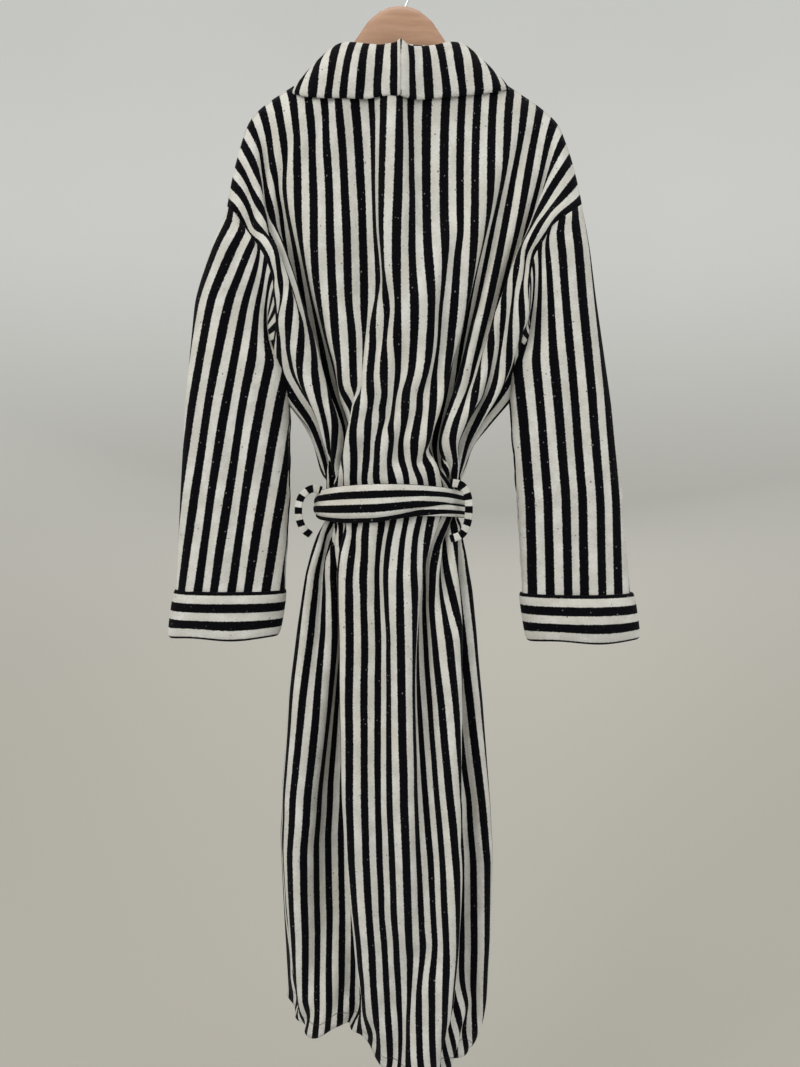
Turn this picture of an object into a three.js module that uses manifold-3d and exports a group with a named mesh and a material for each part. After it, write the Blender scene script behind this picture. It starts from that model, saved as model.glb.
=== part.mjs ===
// A striped terry bathrobe on a wooden clothes hanger, in millimetres, +Z up.
// The origin is the inner top of the hanger's hook, where the rail bears.
// The robe's back faces -Y and its front opening faces +Y.
import * as THREE from "three";
import { RoundedBoxGeometry } from "three/addons/geometries/RoundedBoxGeometry.js";
import { mergeVertices } from "three/addons/utils/BufferGeometryUtils.js";
import Module from "manifold-3d";

const wasm = await Module();
wasm.setup();

// ---- driving dimensions ----
const CLOTH = 5; // thickness of a single terry panel
const COLLAR_CLOTH = 6; // the collar is turned over, so it is a little thicker
const LAY = 2; // air between a collar or pocket and the panel under it
const SEAM = 0.5; // gap left between two panels where they are sewn

const HOOK_WIRE = 4.6; // wire diameter
const HOOK_RADIUS = 20; // to the wire's centre line
const WOOD_TOP = -72;
const STEM_DEPTH = 26; // how far the hook's stem goes into the wood
const BORE_CLEARANCE = 0.5;
const HANGER_HALF = 178;

const ARMPIT_Z = -342;
const WAIST_TOP = -636;
const WAIST_LOW = -700;
const HEM_Z = -1395;
const ARMHOLE_HALF_DEPTH = 56;
const UNDERLAP = 22; // how much deeper the right front lies, under the left front and its collar

const BELT_TOP = -648;
const BELT_HEIGHT = 42;
const BELT_CLOTH = 7;
const TAIL_WIDTH = 46;
const TAIL_LENGTH = 560;
const TAIL_CLOTH = 6;

const CUFF_TOP = -788;
const CUFF_LOW = -843;
const CUFF_CLOTH = 4.5;

// ---- profiles: each row is a place, then the values there ----
// The shoulder line on the hanger: share of the half back, distance from the middle, height, y.
const SHOULDER = profile([
  [0, 0, -123, -30],
  [0.2, 67, -116, -8],
  [0.36, 116, -143, 0],
  [0.54, 162, -177, 0],
  [0.66, 184, -206, 0],
  [0.82, 200, -250, 0],
  [1, 214, -300, 0],
]);
// The body below the armpits: drop below the hook, half width, depth behind, depth in front.
const BODY = profile([
  [-ARMPIT_Z, 163, 62, 80],
  [420, 146, 64, 82],
  [500, 128, 65, 80],
  [580, 106, 63, 74],
  [-WAIST_TOP, 92, 60, 68],
  [-WAIST_LOW, 92, 60, 68],
  [760, 108, 72, 80],
  [913, 127, 88, 92],
  [1107, 141, 98, 96],
  [1306, 139, 104, 98],
  [-HEM_Z, 136, 106, 98],
]);
// The front edge: drop below the hook, distance from the middle (negative once it has crossed over).
const FRONT_EDGE = profile([
  [116, 67],
  [-ARMPIT_Z, 20],
  [-WAIST_TOP, -40],
  [-WAIST_LOW, -44],
  [-HEM_Z, -70],
]);
// The collar's outer edge on the front: row of the front panel, share of the panel it leaves bare.
const LAPEL_EDGE = profile([
  [0, 0.68],
  [0.5, 0.55],
  [1, 0.5],
  [1.25, 0.56],
  [1.4, 0.72],
]);
// The sleeve: share of its length, centre x, centre z, half-width vector x and z, half depth.
const SLEEVE = profile([
  [0, 192.5, -325, 24, 20.5, ARMHOLE_HALF_DEPTH],
  [0.1, 203, -378, 39, 12, 60],
  [0.26, 208, -452, 51, 5, 57],
  [0.46, 214, -560, 59, 2, 51],
  [0.73, 218, -700, 65, 0, 45],
  [1, 221, -838, 68, 0, 42],
]);
// The wood: distance from the middle, top, underside, half thickness, y.
const WOOD = profile([
  [0, WOOD_TOP, -126, 9.5, 0],
  [20, -77, -128, 9.5, 0],
  [38, -94, -134, 9, 0],
  [54, -119, -142, 8, 0],
  [70, -134, -153, 8, 0],
  [116, -157, -182, 9, 1],
  [160, -190, -214, 10, 3],
  [HANGER_HALF, -211, -224, 6, 3],
]);

function profile(rows) {
  const places = rows.map((row) => row[0]);
  const values = rows.flatMap((row) => row.slice(1));
  const curve = new THREE.CubicInterpolant(places, values, rows[0].length - 1);
  return (place) => Array.from(curve.evaluate(place));
}

// ---- surfaces ----
const lerp = THREE.MathUtils.lerp;
const quarter = Math.PI / 2;

// Across a half body: the cosine and sine of the angle from the middle line to the side.
function ellipse(half, depth, angle) {
  return [half * Math.sin(angle), depth * Math.cos(angle)];
}

// A point of the body. way is -1 behind and 1 in front. row is 0 on the shoulder line, 1 at the
// armpits and 2 at the hem. share (0 to 1) picks the place on the shoulder line, angle the place below.
function bodyPoint(way, side, share, angleAt, row, lift = 0) {
  const z = row <= 1 ? ARMPIT_Z : lerp(ARMPIT_Z, HEM_Z, row - 1);
  const [half, behind, front] = BODY(-z);
  const deep = (way < 0 ? behind : front) - lift;
  const [x, y] = ellipse(half, deep, angleAt(z));
  if (row > 1) return new THREE.Vector3(side * x, way * y, z);
  const fall = (1 - Math.cos(Math.PI * row)) / 2;
  const round = Math.sqrt(2 * fall - fall * fall);
  const [topX, topZ, topY] = SHOULDER(share);
  const bulge = (ARMHOLE_HALF_DEPTH - lift * (1 - share)) * share ** 2.5 * Math.sin(Math.PI * row);
  return new THREE.Vector3(
    side * lerp(topX, x, fall),
    lerp(topY, 0, fall) + way * (y * round + bulge),
    lerp(topZ, z, fall),
  );
}

// The whole back: across runs from -1 at the left side seam to 1 at the right one.
function backPoint(across, row) {
  const share = Math.abs(across);
  return bodyPoint(-1, Math.sign(across) || 1, share, () => share * quarter, row);
}

// One front: across runs from 0 at the side seam to 1 at the front edge.
function frontPoint(side, across, row) {
  const edgeAngle = (z) => Math.asin(FRONT_EDGE(-z)[0] / BODY(-z)[0]);
  const angleAt = (z) => lerp(quarter, edgeAngle(z), across);
  const lift = side > 0 ? UNDERLAP : 0;
  return bodyPoint(1, side, lerp(1, 0.2, across), angleAt, row, lift * across ** 0.5);
}

function sleevePoint(side, turn, along) {
  const [x, z, halfX, halfZ, deep] = SLEEVE(along);
  const angle = turn * 2 * Math.PI;
  return new THREE.Vector3(
    side * (x + halfX * Math.cos(angle)),
    deep * Math.sin(angle),
    z + halfZ * Math.cos(angle),
  );
}

// A closed shell on a surface: point(u, v) is the surface, us and vs the places sampled on it. The
// cloth fills from `out` above the surface down by `thick`. ring joins the last u to the first.
function shell({ point, us, vs, out = 0, thick, ring = false, flip = false, raise = () => 0 }) {
  const step = 1e-3;
  const clampTo = (value, list) => THREE.MathUtils.clamp(value, list[0], list.at(-1));
  const wrap = ring ? (value) => value : (value) => clampTo(value, us);
  const normalAt = (u, v) => {
    const alongU = point(wrap(u + step), v).sub(point(wrap(u - step), v));
    const alongV = point(u, clampTo(v + step, vs)).sub(point(u, clampTo(v - step, vs)));
    const normal = alongU.cross(alongV).normalize();
    return flip ? normal.negate() : normal;
  };
  const columns = ring ? us.slice(0, -1) : us;
  const positions = [];
  for (const level of [out, out - thick])
    for (const v of vs)
      for (const u of columns)
        positions.push(...point(u, v).addScaledVector(normalAt(u, v), level + raise(u, v)));
  const wide = columns.length;
  const layer = wide * vs.length;
  const index = [];
  const quad = (a, b, c, d) => (flip ? index.push(a, c, b, a, d, c) : index.push(a, b, c, a, c, d));
  const spans = ring ? wide : wide - 1;
  for (let j = 0; j + 1 < vs.length; j++)
    for (let i = 0; i < spans; i++) {
      const a = j * wide + i;
      const b = j * wide + ((i + 1) % wide);
      quad(a, b, b + wide, a + wide);
      quad(layer + a + wide, layer + b + wide, layer + b, layer + a);
    }
  for (let i = 0; i < spans; i++) {
    const next = (i + 1) % wide;
    const last = layer - wide;
    quad(i, layer + i, layer + next, next);
    quad(last + next, layer + last + next, layer + last + i, last + i);
  }
  if (!ring)
    for (let j = 0; j + 1 < vs.length; j++) {
      const a = j * wide;
      const b = a + wide - 1;
      quad(a + wide, layer + a + wide, layer + a, a);
      quad(b, layer + b, layer + b + wide, b + wide);
    }
  const geometry = new THREE.BufferGeometry();
  geometry.setAttribute("position", new THREE.Float32BufferAttribute(positions, 3));
  return geometry.setIndex(index);
}

const range = (from, to, count) => Array.from({ length: count + 1 }, (_, i) => lerp(from, to, i / count));

// ---- solids ----
function toSolid(geometry) {
  const bare = new THREE.BufferGeometry();
  bare.setAttribute("position", geometry.attributes.position);
  if (geometry.index) bare.setIndex(geometry.index);
  const merged = mergeVertices(bare, 1e-4);
  const triVerts = new Uint32Array(merged.index.array);
  const vertProperties = merged.attributes.position.array;
  return new wasm.Manifold(new wasm.Mesh({ numProp: 3, vertProperties, triVerts }));
}

function toGeometry(solid) {
  const mesh = solid.getMesh();
  const geometry = new THREE.BufferGeometry();
  geometry.setAttribute("position", new THREE.Float32BufferAttribute(mesh.vertProperties, 3));
  return geometry.setIndex([...mesh.triVerts]);
}

// Cuts each tool away and keeps the largest piece.
function cut(geometry, tools) {
  const left = tools.reduce((solid, tool) => solid.subtract(toSolid(tool)), toSolid(geometry));
  const pieces = left.decompose().sort((a, b) => b.volume() - a.volume());
  return toGeometry(pieces[0]);
}

// ---- hanger ----
// The hook's stem rises from the wood, swings out to one side and turns over the rail.
function hookGeometry() {
  const centre = -HOOK_RADIUS + HOOK_WIRE / 2;
  const onArc = (degrees) => {
    const angle = THREE.MathUtils.degToRad(degrees);
    return new THREE.Vector3(HOOK_RADIUS * Math.cos(angle), 0, centre + HOOK_RADIUS * Math.sin(angle));
  };
  const stem = [-STEM_DEPTH, -14, 2, 8].map((rise) => new THREE.Vector3(0, 0, WOOD_TOP + rise));
  const path = new THREE.CatmullRomCurve3([...stem, ...range(-50, 196, 12).map(onArc)]);
  const section = new THREE.Shape().absarc(0, 0, HOOK_WIRE / 2, 0, 2 * Math.PI);
  return new THREE.ExtrudeGeometry(section, { extrudePath: path, steps: 44, curveSegments: 4 });
}

// The wood is lofted from tip to tip with a rounded section, and bored from above for the stem.
function woodGeometry() {
  const sectionSides = 14;
  const blunt = 0.8; // under 1 squares the section up
  const round = (value) => Math.sign(value) * Math.abs(value) ** blunt;
  const point = (turn, x) => {
    const [top, low, half, y] = WOOD(Math.abs(x));
    const angle = turn * 2 * Math.PI;
    const middle = (top + low) / 2;
    return [x, y + half * round(Math.cos(angle)), middle + ((top - low) / 2) * round(Math.sin(angle))];
  };
  const places = [0, 10, 20, 30, 38, 46, 54, 70, 92, 116, 138, 160, 172, HANGER_HALF];
  const xs = [...places.slice(1).map((x) => -x).reverse(), ...places];
  const turns = range(0, 1, sectionSides).slice(0, -1);
  const positions = xs.flatMap((x) => turns.flatMap((turn) => point(turn, x)));
  const index = [];
  const wide = sectionSides;
  for (let j = 0; j + 1 < xs.length; j++)
    for (let i = 0; i < wide; i++) {
      const a = j * wide + i;
      const b = j * wide + ((i + 1) % wide);
      index.push(a, b, b + wide, a, b + wide, a + wide);
    }
  const last = (xs.length - 1) * wide;
  for (let i = 1; i + 1 < wide; i++) {
    index.push(0, i + 1, i);
    index.push(last, last + i, last + i + 1);
  }
  const geometry = new THREE.BufferGeometry();
  geometry.setAttribute("position", new THREE.Float32BufferAttribute(positions, 3));
  geometry.setIndex(index);
  const boreLength = STEM_DEPTH + 6;
  const bore = new THREE.CylinderGeometry(
    HOOK_WIRE / 2 + BORE_CLEARANCE, HOOK_WIRE / 2 + BORE_CLEARANCE, boreLength + 10, 16,
  );
  bore.rotateX(quarter).translate(0, 0, WOOD_TOP - boreLength / 2 + 5);
  return cut(geometry, [bore]);
}

// ---- body panels ----
const upperRows = range(0, 1, 8);
const lowerRows = [1.06, 1.13, 1.2, 1.26, (WAIST_TOP - ARMPIT_Z) / (HEM_Z - ARMPIT_Z) + 1,
  (WAIST_LOW - ARMPIT_Z) / (HEM_Z - ARMPIT_Z) + 1, 1.4, 1.46, 1.54, 1.64, 1.76, 1.88, 2];
const rows = [...upperRows, ...lowerRows];

// Keeps a panel a little to its own side of the seam plane, so that back and front don't touch.
function offSeam(way, point) {
  return (u, v) => {
    const place = point(u, v);
    place.y += (way * SEAM) / 2;
    return place;
  };
}

function backGeometry(extra = 0) {
  const point = offSeam(-1, backPoint);
  return shell({ point, us: range(-1, 1, 22), vs: rows, thick: CLOTH + extra, out: extra, flip: true });
}

function frontGeometry(side, extra = 0) {
  const point = offSeam(1, (across, row) => frontPoint(side, across, row));
  const us = range(0, 1, 11);
  return shell({ point, us, vs: rows, thick: CLOTH + extra, out: extra, flip: side > 0 });
}

// ---- collar: a half runs from the seam at the back of the neck, over the shoulder, down the front ----
function collarGeometry(side) {
  const backLow = 0.345; // row of the back that the collar reaches down to in the middle
  const shoulderShare = 0.456; // place on the shoulder line where its outer edge crosses over
  const halfSeam = 0.006; // share of the half back left bare on each side of the middle seam
  const backPart = (part, out) => {
    const outer = [shoulderShare * part, backLow * (1 - part ** 3) ** 0.7];
    const inner = [0.2 * part, 0];
    const across = lerp(inner[0], outer[0], out);
    return offSeam(-1, backPoint)(side * (across + halfSeam), lerp(inner[1], outer[1], out));
  };
  const frontPart = (row, out) => frontPoint(side, lerp(1, LAPEL_EDGE(row)[0], out), row);
  const point = (out, along) => (along < 1 ? backPart(along, out) : frontPart(along - 1, out));
  const frontRows = rows.filter((row) => row > 0 && row <= 1.4).map((row) => 1 + row);
  const vs = [...range(0, 0.96, 8), 1.05, ...frontRows];
  const out = LAY + COLLAR_CLOTH;
  return shell({ point, us: range(0, 1, 6), vs, thick: COLLAR_CLOTH, out, flip: side < 0 });
}

function sleeveGeometry(side) {
  const point = (turn, along) => sleevePoint(side, turn, along);
  const vs = [0, 0.05, 0.1, 0.18, 0.26, 0.36, 0.46, 0.6, 0.73, 0.87, 1];
  return shell({ point, us: range(0, 1, 18), vs, thick: CLOTH, ring: true, flip: side < 0 });
}

// The cuff is turned back over the sleeve's end.
function cuffGeometry(side) {
  const [x, , half, , deep] = SLEEVE(1);
  const air = 2.6;
  const point = (turn, z) => {
    const angle = turn * 2 * Math.PI;
    const room = CUFF_CLOTH + air;
    return new THREE.Vector3(side * (x + (half + room) * Math.cos(angle)), (deep + room) * Math.sin(angle), z);
  };
  const vs = [-CUFF_TOP, -CUFF_LOW];
  const down = (turn, drop) => point(turn, -drop);
  return shell({ point: down, us: range(0, 1, 18), vs, thick: CUFF_CLOTH, ring: true, flip: side < 0 });
}

// ---- belt ----
const [WAIST_HALF, WAIST_BEHIND, WAIST_FRONT] = BODY(-BELT_TOP);
const BELT_OVER_FRONT = WAIST_FRONT + LAY + COLLAR_CLOTH + 3; // the belt's inner face on the collar
const KNOT_FACE = BELT_OVER_FRONT + BELT_CLOTH + SEAM;

function beltGeometry() {
  const air = 3.5;
  const point = (turn, drop) => {
    const angle = turn * 2 * Math.PI;
    const deep = Math.cos(angle) > 0 ? WAIST_BEHIND + air : BELT_OVER_FRONT;
    const [x, y] = ellipse(WAIST_HALF + air, deep, angle);
    return new THREE.Vector3(x, -y, -drop);
  };
  const vs = [-BELT_TOP, -BELT_TOP + BELT_HEIGHT];
  const us = range(0, 1, 36);
  return shell({ point, us, vs, thick: BELT_CLOTH, out: BELT_CLOTH, ring: true, flip: true });
}

function knotGeometry() {
  const [wide, deep, high] = [50, 28, 46];
  const middle = BELT_TOP - BELT_HEIGHT / 2;
  return new RoundedBoxGeometry(wide, deep, high, 2, 9).translate(0, KNOT_FACE + deep / 2, middle);
}

// A tail hangs from a round top, about whose centre it swings.
function tailGeometry() {
  const half = TAIL_WIDTH / 2;
  const outline = new THREE.Shape();
  outline.absarc(0, 0, half, 0, Math.PI);
  outline.lineTo(-half, -TAIL_LENGTH);
  outline.lineTo(half, -TAIL_LENGTH);
  const body = new THREE.ExtrudeGeometry(outline, { depth: TAIL_CLOTH, bevelEnabled: false, curveSegments: 12 });
  return body.rotateX(quarter);
}

// A belt loop is a strap that stands off the side seam in a bow.
function loopGeometry(side) {
  const [bow, tall, strap, wide] = [27, 44, 4, 10];
  const rim = (inset, from, to) =>
    range(from, to, 12).map((angle) => {
      return new THREE.Vector2((bow - inset) * Math.cos(angle), (tall - inset) * Math.sin(angle));
    });
  const outline = new THREE.Shape([...rim(0, -quarter, quarter), ...rim(strap, quarter, -quarter)]);
  const body = new THREE.ExtrudeGeometry(outline, { depth: wide, bevelEnabled: false });
  body.rotateX(quarter).translate(WAIST_HALF + 4.8, wide / 2, BELT_TOP - BELT_HEIGHT / 2);
  return side < 0 ? body.rotateZ(Math.PI) : body;
}

// A patch pocket bows away from the front at its open top.
function pocketGeometry(side) {
  const [top, low] = [-812, -992];
  const [nearSide, nearMiddle] = [0.04, 0.5];
  const bow = 16;
  const rowOf = (z) => 1 + (z - ARMPIT_Z) / (HEM_Z - ARMPIT_Z);
  const point = (across, down) => frontPoint(side, across, rowOf(-down));
  const us = range(nearSide, nearMiddle, 8);
  const vs = range(-top, -low, 5);
  const raise = (u, v) => {
    const across = (u - nearSide) / (nearMiddle - nearSide);
    return bow * Math.sin(Math.PI * across) * (1 - (v - vs[0]) / (vs.at(-1) - vs[0]));
  };
  return shell({ point, us, vs, thick: CLOTH, out: LAY + CLOTH, flip: side > 0, raise });
}

// ---- the object ----
const TERRY = { color: 0x77736b, roughness: 0.95, metalness: 0 };
const TERRY_EDGE = { color: 0x8d897f, roughness: 0.95, metalness: 0 };
const WOOD_FINISH = { color: 0x96705a, roughness: 0.45, metalness: 0 };
const STEEL = { color: 0xb9bbbd, roughness: 0.25, metalness: 1 };

const robe = new THREE.Group();

function add(name, geometry, look) {
  const mesh = new THREE.Mesh(geometry, new THREE.MeshStandardMaterial(look));
  mesh.name = name;
  robe.add(mesh);
  return mesh;
}

add("hanger_hook", hookGeometry(), STEEL);
add("hanger_wood", woodGeometry(), WOOD_FINISH);
add("back_panel", backGeometry(), TERRY);
add("belt_band", beltGeometry(), TERRY_EDGE);
add("belt_knot", knotGeometry(), TERRY_EDGE);
for (const [word, side] of [["left", -1], ["right", 1]]) {
  add("front_panel_" + word, frontGeometry(side), TERRY);
  add("collar_" + word, collarGeometry(side), TERRY_EDGE);
  add("sleeve_" + word, sleeveGeometry(side), TERRY);
  add("cuff_" + word, cuffGeometry(side), TERRY_EDGE);
  add("belt_loop_" + word, loopGeometry(side), TERRY_EDGE);
  add("pocket_" + word, pocketGeometry(side), TERRY_EDGE);
  const tail = add("belt_tail_" + word, tailGeometry(), TERRY_EDGE);
  const layer = side < 0 ? 0 : TAIL_CLOTH + 1.5;
  const pivotZ = BELT_TOP - BELT_HEIGHT - TAIL_WIDTH / 2 - 5;
  tail.position.set(side * 9, KNOT_FACE + 22 + layer, pivotZ);
}

export default robe;
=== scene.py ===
import math

import bpy
import numpy as np
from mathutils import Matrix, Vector
from mathutils.bvhtree import BVHTree


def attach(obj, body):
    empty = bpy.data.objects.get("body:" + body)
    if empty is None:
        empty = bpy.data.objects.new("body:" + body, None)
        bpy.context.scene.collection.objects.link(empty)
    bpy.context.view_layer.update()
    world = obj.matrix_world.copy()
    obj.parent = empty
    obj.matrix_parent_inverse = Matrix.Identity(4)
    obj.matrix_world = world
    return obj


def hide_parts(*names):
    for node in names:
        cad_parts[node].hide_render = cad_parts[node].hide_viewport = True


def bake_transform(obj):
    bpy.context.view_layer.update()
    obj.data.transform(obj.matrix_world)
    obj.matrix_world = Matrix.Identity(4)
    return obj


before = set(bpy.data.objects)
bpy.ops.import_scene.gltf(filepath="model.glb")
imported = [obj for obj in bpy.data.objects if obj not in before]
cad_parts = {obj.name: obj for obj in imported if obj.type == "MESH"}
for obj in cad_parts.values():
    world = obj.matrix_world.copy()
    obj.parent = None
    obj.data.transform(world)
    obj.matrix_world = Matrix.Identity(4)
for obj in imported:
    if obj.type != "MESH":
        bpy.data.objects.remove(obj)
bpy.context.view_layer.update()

# ---- driving values ----
STRIPE = 0.0216  # one black and one cream stripe together
TERRY = 0.0036  # thickness of the cloth with its pile


# ---- materials ----
class Nodes:
    """A small builder for a material's node tree."""

    def __init__(self, name):
        self.material = bpy.data.materials.new(name)
        self.material.use_nodes = True
        self.tree = self.material.node_tree
        self.shader = self.tree.nodes["Principled BSDF"]

    def add(self, kind, **settings):
        node = self.tree.nodes.new(kind)
        for key, value in settings.items():
            setattr(node, key, value)
        return node

    def feed(self, socket, value):
        if isinstance(value, bpy.types.NodeSocket):
            self.tree.links.new(value, socket)
        elif value is not None:
            socket.default_value = value

    def math(self, operation, first, second=None):
        node = self.add("ShaderNodeMath", operation=operation)
        self.feed(node.inputs[0], first)
        self.feed(node.inputs[1], second)
        return node.outputs[0]

    def noise(self, vector, scale, detail=2.0, rough=0.5):
        node = self.add("ShaderNodeTexNoise")
        self.feed(node.inputs["Vector"], vector)
        node.inputs["Scale"].default_value = scale
        node.inputs["Detail"].default_value = detail
        node.inputs["Roughness"].default_value = rough
        return node.outputs["Fac"]

    def cells(self, vector, scale):
        node = self.add("ShaderNodeTexVoronoi")
        self.feed(node.inputs["Vector"], vector)
        node.inputs["Scale"].default_value = scale
        return node.outputs["Distance"]

    def ramp(self, value, low, high, to_low=0.0, to_high=1.0):
        node = self.add("ShaderNodeMapRange", interpolation_type="SMOOTHSTEP")
        for socket, number in zip(node.inputs, (value, low, high, to_low, to_high)):
            self.feed(socket, number)
        return node.outputs[0]

    def mix(self, factor, first, second):
        node = self.add("ShaderNodeMix", data_type="RGBA")
        self.feed(node.inputs[0], factor)
        for socket, colour in ((node.inputs[6], first), (node.inputs[7], second)):
            self.feed(socket, colour if isinstance(colour, bpy.types.NodeSocket) else (*colour, 1.0))
        return node.outputs[2]

    def bump(self, height, strength, distance):
        node = self.add("ShaderNodeBump")
        self.feed(node.inputs["Height"], height)
        node.inputs["Strength"].default_value = strength
        node.inputs["Distance"].default_value = distance
        return node.outputs[0]


def stripe_share(n, flat, across, shift, cream_part):
    """1 on the cream stripes and 0 on the black ones, with ragged edges."""
    ragged = n.noise(flat, 520, 2.0, 0.6)
    drift = n.noise(flat, 9, 1.0)
    wander = n.math("ADD", n.math("MULTIPLY", n.math("SUBTRACT", ragged, 0.5), 0.0026),
                    n.math("MULTIPLY", n.math("SUBTRACT", drift, 0.5), 0.002))
    place = n.math("ADD", n.math("ADD", across, wander), shift + 40 * STRIPE)
    phase = n.math("FRACT", n.math("DIVIDE", place, STRIPE))
    from_middle = n.math("ABSOLUTE", n.math("SUBTRACT", phase, 0.5))
    half, blur = cream_part / 2, 0.018
    return n.ramp(from_middle, half - blur, half + blur, 1.0, 0.0)


def terry(name, shift=0.0, cream_part=0.475, stitches=()):
    """Looped terry with stripes across the flat cloth's first coordinate. shift moves the stripes."""
    n = Nodes(name)
    flat = n.add("ShaderNodeUVMap", uv_map="flat").outputs[0]
    parts = n.add("ShaderNodeSeparateXYZ")
    n.feed(parts.inputs[0], flat)
    across, along = parts.outputs[0], parts.outputs[1]
    cream_share = stripe_share(n, flat, across, shift, cream_part)
    pile = n.cells(flat, 560)
    loops = n.noise(flat, 900, 3.0, 0.7)
    # tuft is the pile's relief: it drives the bump and also the painted pile shade below.
    tuft = n.math("ADD", n.math("MULTIPLY", pile, 0.6), n.math("MULTIPLY", loops, 0.6))
    blotch = n.noise(flat, 30, 3.0, 0.6)
    tint = n.noise(flat, 7, 2.0)
    cream = n.mix(n.ramp(blotch, 0.35, 0.7), (0.53, 0.51, 0.45), (0.66, 0.645, 0.59))
    cream = n.mix(n.ramp(tint, 0.45, 0.7, 0.0, 0.35), cream, (0.64, 0.59, 0.49))
    # Painted shade: the cream darkens in the low valleys of the pile, following the same relief that
    # drives the bump.
    cream = n.mix(n.ramp(tuft, 0.28, 0.58, 0.40, 0.0), cream, (0.36, 0.34, 0.29))
    # Painted light and shade on the black: the loop tops of the pile are a shade lighter than its valleys.
    black = n.mix(n.ramp(tuft, 0.35, 0.8), (0.0008, 0.0008, 0.0015), (0.0028, 0.0028, 0.0042))
    colour = n.mix(cream_share, black, cream)
    lint_light = n.ramp(n.noise(flat, 330, 0.0), 0.80, 0.83)
    lint_dark = n.ramp(n.noise(flat, 270, 0.0), 0.185, 0.165)
    colour = n.mix(n.math("MULTIPLY", lint_light, 0.4), colour, (0.42, 0.40, 0.36))
    colour = n.mix(n.math("MULTIPLY", lint_dark, 0.75), colour, (0.02, 0.02, 0.022))
    height = n.math("ADD", tuft, n.math("MULTIPLY", n.noise(flat, 160, 2.0), 0.8))
    for row, wide in stitches:
        dip = n.ramp(n.math("ABSOLUTE", n.math("SUBTRACT", along, row)), 0.0, wide, 1.0, 0.0)
        height = n.math("SUBTRACT", height, n.math("MULTIPLY", dip, 2.6))
        colour = n.mix(n.math("MULTIPLY", dip, 0.45), colour, (0.03, 0.03, 0.032))
    n.feed(n.shader.inputs["Base Color"], colour)
    n.feed(n.shader.inputs["Normal"], n.bump(height, 0.6, 0.0012))
    n.shader.inputs["Roughness"].default_value = 0.96
    n.shader.inputs["Specular IOR Level"].default_value = 0.05
    n.shader.inputs["Sheen Weight"].default_value = 0.025
    n.shader.inputs["Sheen Roughness"].default_value = 0.55
    return n.material


def varnished_wood():
    """Wood with its grain along the hanger, under a thin varnish."""
    n = Nodes("hanger_varnished_wood")
    place = n.add("ShaderNodeTexCoord").outputs["Object"]
    stretch = n.add("ShaderNodeMapping")
    n.feed(stretch.inputs["Vector"], place)
    stretch.inputs["Scale"].default_value = (6, 60, 60)
    grain = n.noise(stretch.outputs[0], 2.2, 6.0, 0.65)
    pores = n.noise(stretch.outputs[0], 16, 3.0, 0.6)
    broad = n.noise(place, 9, 2.0)
    colour = n.mix(n.ramp(grain, 0.3, 0.7), (0.33, 0.175, 0.100), (0.43, 0.245, 0.150))
    colour = n.mix(n.ramp(pores, 0.56, 0.76, 0.0, 0.3), colour, (0.22, 0.115, 0.065))
    colour = n.mix(n.ramp(broad, 0.4, 0.7, 0.0, 0.3), colour, (0.46, 0.28, 0.18))
    n.feed(n.shader.inputs["Base Color"], colour)
    n.feed(n.shader.inputs["Roughness"], n.ramp(grain, 0.3, 0.7, 0.38, 0.55))
    n.feed(n.shader.inputs["Normal"], n.bump(grain, 0.25, 0.0006))
    n.shader.inputs["Coat Weight"].default_value = 0.25
    n.shader.inputs["Coat Roughness"].default_value = 0.3
    return n.material


def wire_steel():
    """Plated wire, a little dulled in places."""
    n = Nodes("hook_plated_wire")
    place = n.add("ShaderNodeTexCoord").outputs["Object"]
    marks = n.noise(place, 420, 3.0, 0.6)
    wear = n.noise(place, 60, 3.0)
    colour = n.mix(n.ramp(wear, 0.4, 0.7), (0.60, 0.60, 0.61), (0.42, 0.41, 0.40))
    n.feed(n.shader.inputs["Base Color"], colour)
    n.shader.inputs["Metallic"].default_value = 1.0
    n.feed(n.shader.inputs["Roughness"], n.ramp(marks, 0.3, 0.7, 0.18, 0.34))
    n.feed(n.shader.inputs["Normal"], n.bump(marks, 0.12, 0.0002))
    return n.material


def paper_with_painted_shade():
    """A pale backdrop, with painted shade that darkens it towards the floor."""
    n = Nodes("stage_paper")
    place = n.add("ShaderNodeTexCoord").outputs["Object"]
    cloud = n.noise(place, 0.8, 2.0)
    parts = n.add("ShaderNodeSeparateXYZ")
    n.feed(parts.inputs[0], place)
    upper = n.mix(cloud, (0.86, 0.85, 0.80), (0.92, 0.915, 0.87))
    # Painted shade: the paper's colour falls to (0.42, 0.40, 0.35) towards the floor.
    colour = n.mix(n.ramp(parts.outputs[2], -1.9, 1.2), (0.42, 0.40, 0.35), upper)
    n.feed(n.shader.inputs["Base Color"], colour)
    n.shader.inputs["Roughness"].default_value = 0.95
    n.shader.inputs["Specular IOR Level"].default_value = 0.1
    return n.material


# ---- the sewn cloth ----
HALF_BACK = 0.306  # flat half width of the back, side seam to centre
NECK = 0.067  # half width of the back neck
HANGER_TIP = 0.178  # half length of the hanger
SHOULDER_FALL = math.radians(31)  # slope of the shoulder on the hanger
DROP_FALL = math.radians(45)  # slope beyond the hanger's tip
RIDGE = -0.116  # height of the neck points
ARMPIT = -0.505  # height of the armpit before the cloth falls
WAIST = -0.668
HEM = -1.395
OVERLAP = 0.075  # how far each front passes the centre at the hem
SLEEVE, SLEEVE_SLANT = 0.44, 0.06  # length along the middle, and how much longer the top line is
SLEEVE_TOP, SLEEVE_END = 0.25, 0.155  # flat widths of the sleeve at the armhole and at the cuff
SLEEVE_TWIST = {-1: 0.055, 1: -0.022}  # how far the stripes drift round each sleeve by its end
ARM_ROWS, LOW_ROWS, SIDE_COLUMNS, NECK_COLUMNS, SLEEVE_ROWS = 20, 64, 20, 6, 34
TOP_ROW = LOW_ROWS + ARM_ROWS
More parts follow.
